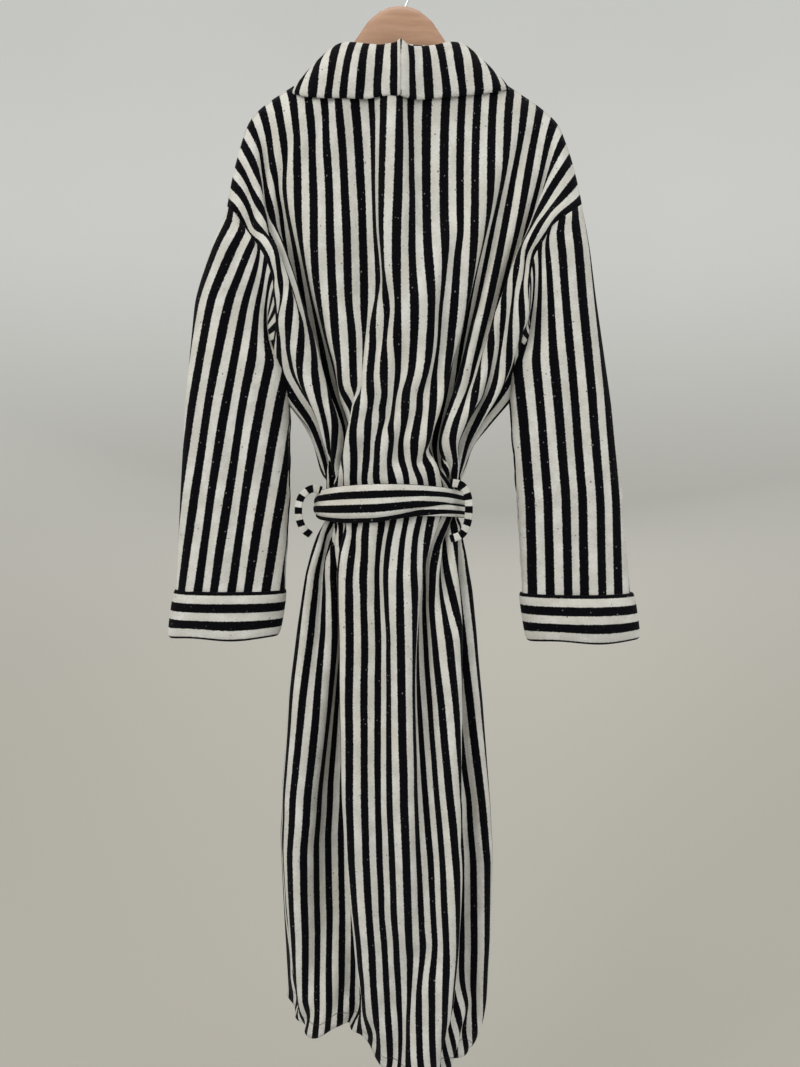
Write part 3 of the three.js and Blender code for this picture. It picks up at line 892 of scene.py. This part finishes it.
def make_cuff(place):
    """A turned-back cuff: up over the sleeve's end from inside it."""
    x0, z0, half = place
    side = math.copysign(1, x0)
    profile = ((0.0045, 0.006), (0.0068, 0.0045), (0.0072, -0.012), (0.0072, -0.03), (0.0068, -0.047),
               (0.0055, -0.0535), (0.002, -0.055), (-0.0025, -0.052), (-0.004, -0.04), (-0.004, -0.02))
    points, flat, run = [], [], 0.0
    for number, (out, rise) in enumerate(profile):
        outline = Ellipse(CUFF_DEPTH + out, half + out)
        if number:
            run += math.hypot(out - profile[number - 1][0], rise - profile[number - 1][1])
        row = []
        for step in range(64):
            (across, away), _ = outline.at(outline.arcs[-1] * step / 64)
            sag = 0.0016 * math.sin(step / 64 * 6 * math.pi + side)
            x = x0 - side * away - side * CUFF_SLANT * rise
            row.append((x, -across, z0 + rise + sag * (rise < -0.04)))
        points.append(row[::-1] if side > 0 else row)
        flat.append([(run, 0.0047 * step) for step in range(65)])
    return points, flat


# ---- belt ----
BELT_MIDDLE = -0.669
BELT_HALF, BELT_BEHIND, BELT_FRONT = 0.0965, 0.068, 0.083
LOOP_WIDTH = 0.010
BELT_EDGES = (  # degrees from the middle of the back, then the belt's top and bottom edges
    (-180, -0.648, -0.690), (-110, -0.652, -0.688), (-88, -0.660, -0.684), (-68, -0.6505, -0.6880),
    (-38, -0.6440, -0.6905), (-12, -0.6415, -0.6890), (6, -0.6415, -0.6840), (20, -0.6430, -0.6805),
    (40, -0.6460, -0.6815), (62, -0.6520, -0.6840), (84, -0.6580, -0.6850), (110, -0.652, -0.688),
    (180, -0.648, -0.690),
)


def belt_place(angle, share, out):
    """A point of the belt; angle 0 is the middle of the back, positive towards the right."""
    deep = BELT_BEHIND if math.cos(angle) > 0 else BELT_FRONT
    x, y = (BELT_HALF + out) * math.sin(angle), -(deep + out) * math.cos(angle)
    turns, tops, lows = zip(*BELT_EDGES)
    top, low = (np.interp(math.degrees(angle), turns, edge) for edge in (tops, lows))
    return np.array((x + LEAN_AT_WAIST, y, top + (low - top) * share))


def belt_sweep(angle):
    """0 to the left of the belt's crease, 1 where the crease has reached its right end."""
    share = min(max((math.degrees(angle) + 2) / 62, 0), 1)
    return share * share * (3 - 2 * share) if angle < 1.6 else max(0.0, 1 - (angle - 1.6) * 2)


def belt_fold(angle, share):
    """How far the belt's face stands in or out where it has creased."""
    crease = math.exp(-(((share - 0.86 + 0.36 * belt_sweep(angle)) / 0.07) ** 2))
    hollow = math.exp(-(((share - 0.40) / 0.13) ** 2)) * (math.degrees(angle) < 20)
    return 0.0030 * math.sin(math.pi * share) - 0.0034 * crease - 0.0016 * hollow


def make_belt():
    """The belt's ring round the gathered waist, creased at the back."""
    points, flat = [], []
    for step in range(21):
        share = step / 20
        row, laid = [], []
        for turn in range(120):
            angle = turn / 120 * 2 * math.pi
            angle = angle - 2 * math.pi if angle > math.pi else angle
            row.append(belt_place(angle, share, belt_fold(angle, share)))
            swept = share * (2.9 + 0.75 * belt_sweep(angle) * share)
            laid.append((swept * STRIPE, 0.0048 * (turn if turn <= 60 else turn - 120)))
        points.append(row)
        flat.append(laid + laid[:1])
    return points, flat


def strap(path, width):
    """A narrow strap along a path with its face towards the back; bands run across it."""
    points, flat, run = [], [], 0.0
    for number, place in enumerate(path):
        ahead = path[min(number + 1, len(path) - 1)] - path[max(number - 1, 0)]
        aside = np.cross(ahead, (0.25, 1, 0))
        aside = aside / np.linalg.norm(aside)
        run += float(np.linalg.norm(place - path[number - 1])) if number else 0.0
        points.append([place + aside * width * (step / 4 - 0.5) for step in range(5)])
        flat.append([(run * 1.35, step * width / 4) for step in range(5)])
    return points, flat


def smooth_path(knots, count=28):
    """Points along a smooth line through the knots."""
    knots = np.array(knots, float)
    padded = np.vstack([2 * knots[0] - knots[1], knots, 2 * knots[-1] - knots[-2]])
    places = []
    for number in range(count):
        t = number / (count - 1) * (len(knots) - 1)
        i = min(int(t), len(knots) - 2)
        u = t - i
        a, b, c, d = padded[i : i + 4]
        places.append(0.5 * (2 * b + (c - a) * u + (2 * a - 5 * b + 4 * c - d) * u**2
                             + (3 * b - a - 3 * c + d) * u**3))
    return places


LEFT_LOOP = ((-0.098, -0.030, -0.650), (-0.112, -0.034, -0.6485), (-0.1245, -0.036, -0.660),
             (-0.1275, -0.036, -0.680), (-0.122, -0.034, -0.698), (-0.112, -0.030, -0.707))
RIGHT_LOOP = ((0.062, -0.046, -0.640), (0.076, -0.052, -0.6435), (0.0835, -0.054, -0.656),
              (0.0850, -0.054, -0.675), (0.0830, -0.052, -0.692), (0.076, -0.050, -0.705),
              (0.062, -0.050, -0.710))


def squarish(value):
    """Fills a sine out towards a square wave, for a lump with flatter sides."""
    return math.copysign(abs(value) ** 0.72, value)


def make_knot():
    """A half knot: a rounded lump with the strap's turn over it."""
    half_x, half_y, half_z, face = 0.024, 0.0135, 0.0225, 0.0995
    points, flat = [], []
    for step in range(15):
        polar = math.pi * (0.04 + 0.92 * step / 14)
        row = []
        for turn in range(32):
            angle = turn / 32 * 2 * math.pi
            ripple = 1 + 0.05 * math.sin(3 * angle + 4 * polar)
            x = half_x * squarish(math.sin(polar)) * squarish(math.cos(angle)) * ripple
            y = half_y * squarish(math.sin(polar)) * squarish(math.sin(angle)) * ripple
            z = BELT_MIDDLE + half_z * squarish(math.cos(polar))
            row.append((x + LEAN_AT_WAIST * 0.4, face + y, z))
        points.append(row)
        flat.append([(0.003 * turn + 0.0035 * step, 0.004 * step) for turn in range(33)])
    return points, flat


def make_tail(side):
    """A belt end: a flat double strap from the knot, with a slight wave."""
    top, low, half = -0.699, -1.277, 0.0225
    face = 0.105 if side < 0 else 0.1125
    points, flat = [], []
    for step in range(49):
        share = step / 48
        z = top + (low - top) * share
        wave = 0.0016 * math.sin(9 * share + side) * min(1, share * 5)
        narrow = 0.72 + 0.28 * min(1, share * 7)
        row = []
        for number in range(9):
            across = number / 8 - 0.5
            curl = 0.0012 * math.cos(2 * math.pi * across)
            row.append((side * 0.009 + across * 2 * half * narrow, face + wave + curl, z))
        points.append(row)
        flat.append([((number / 8 - 0.5) * 2 * half, z) for number in range(9)])
    return points, flat


# ---- hanger ----
WOOD = (  # distance from the middle, top, underside, half thickness
    (0, -0.0720, -0.124, 0.0088), (0.012, -0.0730, -0.1245, 0.0088), (0.024, -0.0775, -0.126, 0.0088),
    (0.040, -0.0900, -0.131, 0.0085), (0.056, -0.1120, -0.140, 0.0075),
    (0.072, -0.132, -0.152, 0.0065), (0.116, -0.162, -0.180, 0.006),
    (0.140, -0.186, -0.200, 0.005), (0.154, -0.199, -0.208, 0.004), (0.158, -0.203, -0.206, 0.002),
)


def make_wood():
    """A bent wooden hanger with rounded edges."""
    x, top, low, half = np.array(WOOD).T
    points, flat = [], []
    for place in np.linspace(-x[-1], x[-1], 97):
        high, under, thick = (np.interp(abs(place), x, line) for line in (top, low, half))
        row = []
        for turn in range(20):
            angle = turn / 20 * 2 * math.pi
            across, up = math.sin(angle), math.cos(angle)
            squared = (abs(across) ** 3.2 + abs(up) ** 3.2) ** (-1 / 3.2)
            middle, tall = (high + under) / 2, (high - under) / 2
            row.append((place, thick * across * squared, float(risen(middle + tall * up * squared))))
        points.append(row)
        flat.append([(place, 0.004 * turn) for turn in range(21)])
    return points, flat


# ---- pockets ----
POCKET_TOP, POCKET_LOW = -0.812, -0.992


def make_pocket(side, front):
    """A patch pocket that lies on the front's folds."""
    tree = BVHTree.FromPolygons([tuple(p) for p in front.points], front.faces)
    rows, columns = 15, 13
    depth = np.zeros((rows, columns))
    xs = [LEAN_AT_WAIST + side * (0.026 + 0.070 * j / (columns - 1)) for j in range(columns)]
    zs = [POCKET_TOP + (POCKET_LOW - POCKET_TOP) * i / (rows - 1) for i in range(rows)]
    for i, z in enumerate(zs):
        for j, x in enumerate(xs):
            hit = tree.ray_cast(Vector((x, 0.5, z)), Vector((0, -1, 0)))[0]
            depth[i, j] = hit.y if hit else np.nan
    depth[np.isnan(depth)] = np.nanmin(depth)
    for combine in (np.max, np.max, np.mean, np.mean, np.mean, np.mean):
        padded = np.pad(depth, 1, mode="edge")
        around = [padded[a : a + rows, b : b + columns] for a in range(3) for b in range(3)]
        depth = combine(around, axis=0)
    depth = np.minimum(depth, 0.096)
    points = [[(x, depth[i, j] + 0.005, z) for j, x in enumerate(xs)] for i, z in enumerate(zs)]
    flat = [[(side * j * 0.0067, z) for j in range(columns)] for z in zs]
    if side < 0:
        points, flat = [row[::-1] for row in points], [row[::-1] for row in flat]
    return points, flat


# ---- the room ----
CAMERA_PLACE = (0.0, -1.14, -0.629)
CAMERA_PITCH = math.radians(-3.9)
LENS = 29.7


def make_stage(paper):
    """A pale bowl: a wall that curves into the floor well beyond the robe."""
    radius, floor, bend = 5.0, -1.75, 4.2
    profile = [(0.0, floor), (radius - bend, floor)]
    profile += [(radius - bend + bend * math.sin(a), floor + bend - bend * math.cos(a))
                for a in np.linspace(0.08, math.pi / 2, 20)]
    profile += [(radius, 5.5)]
    points = [[(r * math.cos(t), r * math.sin(t), z) for t in np.linspace(0, 2 * math.pi, 65)[:-1]]
              for r, z in profile]
    flat = [[(0.1 * j, 0.1 * i) for j in range(65)] for i in range(len(profile))]
    bowl = grid_piece("stage_bowl", points, flat, closed=True)
    bowl.data.materials.append(paper)
    bowl.visible_diffuse = False


def add_light(name, place, aim, power, size, colour):
    lamp = bpy.data.lights.new(name, "AREA")
    lamp.energy, lamp.size, lamp.color = power, size, colour
    light = bpy.data.objects.new(name, lamp)
    light.location = place
    light.rotation_euler = (Vector(aim) - Vector(place)).to_track_quat("-Z", "Y").to_euler()
    bpy.context.scene.collection.objects.link(light)


def light_room():
    world = bpy.data.worlds.new("room")
    world.use_nodes = True
    world.node_tree.nodes["Background"].inputs["Color"].default_value = (0.90, 0.92, 0.93, 1)
    world.node_tree.nodes["Background"].inputs["Strength"].default_value = 0.62
    bpy.context.scene.world = world
    add_light("window_side", (-2.0, -2.1, 0.6), (0, 0, -0.7), 46, 1.8, (1.0, 0.985, 0.96))
    add_light("fill_side", (2.2, -1.8, 0.2), (0, 0, -0.8), 22, 2.0, (0.97, 0.985, 1.0))
    add_light("from_front", (0.3, 2.4, 0.8), (0, 0, -0.7), 34, 2.0, (1.0, 0.99, 0.97))
    add_light("above", (0.0, -0.3, 2.0), (0, 0, -0.6), 18, 1.4, (1.0, 0.99, 0.97))


def place_camera():
    lens = bpy.data.cameras.new("camera")
    lens.lens, lens.sensor_width, lens.sensor_fit = LENS, 36, "AUTO"
    camera = bpy.data.objects.new("camera", lens)
    camera.location = CAMERA_PLACE
    camera.rotation_euler = (math.pi / 2 + CAMERA_PITCH, 0, 0)
    bpy.context.scene.collection.objects.link(camera)
    scene = bpy.context.scene
    scene.camera = camera
    scene.view_settings.view_transform = "Standard"
    scene.view_settings.look = "None"


# ---- the whole robe ----
def dress_cloth(pattern, places, fabric):
    """The body, fronts and sleeves, cut from the draped cloth, with their thickness."""
    surface, piece = refined(places, pattern)
    names = {
        BACK: ("robe_back", "back_panel"),
        FRONT_LEFT: ("robe_front_left", "front_panel_left"),
        FRONT_RIGHT: ("robe_front_right", "front_panel_right"),
        SLEEVE_LEFT: ("robe_sleeve_left", "sleeve_left"),
        SLEEVE_RIGHT: ("robe_sleeve_right", "sleeve_right"),
    }
    made = {}
    for number, (name, node) in names.items():
        chosen = np.flatnonzero(piece == number)
        part = thick_piece(name, surface, chosen, TERRY)
        rigid = number in (BACK, FRONT_LEFT, FRONT_RIGHT)
        set_out(part, fabric, "robe" if rigid else None, "terry_body", node)
        if not rigid:
            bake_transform(part)
        made[number] = part
    return made, surface


def dress_edges(surface, grids, fabrics):
    """Collar, cuffs and pockets."""
    made = {}
    for side, word in ((-1, "left"), (1, "right")):
        shape = make_collar(side, grids[side])
        collar = grid_piece("collar_half_" + word, *shape, thickness=COLLAR_CLOTH)
        set_out(collar, fabrics["collar"], "robe", "terry_collar", "collar_" + word)
        shape = make_cuff(CUFF_PLACE[side])
        cuff = grid_piece("cuff_turned_" + word, *shape, thickness=CUFF_CLOTH, closed=True)
        set_out(cuff, fabrics["cuff_" + word], "sleeve_" + word, "terry_collar", "cuff_" + word)
        pocket = grid_piece("pocket_patch_" + word, *make_pocket(side, surface), thickness=TERRY)
        set_out(pocket, fabrics["body"], "robe", "terry_trim", "pocket_" + word)
        made[word] = (collar, cuff, pocket)
    return made


def dress_belt(fabrics):
    """The belt's band, knot and ends, and the two loops."""
    belt = grid_piece("belt_strap", *make_belt(), thickness=0.006, closed=True)
    set_out(belt, fabrics["belt"], "robe", "terry_belt", "belt_band")
    knot = grid_piece("belt_half_knot", *make_knot(), closed=True)
    set_out(knot, fabrics["belt"], "robe", "terry_belt", "belt_knot")
    loops = []
    for word, knots in (("left", LEFT_LOOP), ("right", RIGHT_LOOP)):
        path = smooth_path(knots)
        loop = grid_piece("loop_strap_" + word, *strap(path, LOOP_WIDTH), thickness=0.0036)
        loops.append(set_out(loop, fabrics["trim"], "robe", "terry_trim", "belt_loop_" + word))
    tails = []
    for side, word in ((-1, "left"), (1, "right")):
        tail = grid_piece("belt_end_" + word, *make_tail(side), thickness=0.0052)
        node = "belt_tail_" + word
        tails.append(set_out(tail, fabrics["tail"], node, "terry_belt", node))
    return belt, knot, loops, tails


def finish_hanger():
    """The wood is a new piece; the hook keeps its own shape and gets its steel."""
    wood = grid_piece("hanger_bent_wood", *make_wood(), closed=True)
    set_out(wood, varnished_wood(), "robe", "hanger_wood", "hanger_wood")
    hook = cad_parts["hanger_hook"]
    hook.data.materials.clear()
    hook.data.materials.append(wire_steel())


def grids_of(columns, surface):
    ids = np.array(columns)
    return surface.points[ids], surface.normals[ids]


pattern, back, fronts, sleeves, held, targets = sew()
places = settle(pattern, held, targets)
places = calm_underarms(places, pattern, sleeves)
body_points = sorted({p for face, n in zip(pattern.faces, pattern.piece) if n < SLEEVE_LEFT for p in face})
places = ease_to_outline(places, body_points)
places = level_hem(places, fronts[-1] + fronts[1] + back)
coarse = Surface(places, pattern.faces, None)
middle = len(back) // 2
collar_grids = {
    -1: (grids_of(back[: middle + 1], coarse), grids_of(fronts[-1], coarse)),
    1: (grids_of(back[middle:][::-1], coarse), grids_of(fronts[1], coarse)),
}
tuck_neck(places, back)
hem_line = ((HEM + 0.021, 0.0013),)
fabrics = {
    "body": terry("terry_lengthwise", stitches=hem_line),
    "collar": terry("terry_collar", shift=STRIPE * 0.33),
    "cuff_left": terry("terry_cuff_left"),
    "cuff_right": terry("terry_cuff_right"),
    "belt": terry("terry_belt", shift=STRIPE * 0.2, cream_part=0.45),
    "tail": terry("terry_belt_end", shift=STRIPE * 0.5),
    "trim": terry("terry_loop"),
}
cloth_pieces, fine = dress_cloth(pattern, places, fabrics["body"])
edges = dress_edges(fine, collar_grids, fabrics)
belt, knot, loops, tails = dress_belt(fabrics)
finish_hanger()
make_stage(paper_with_painted_shade())
light_room()
place_camera()
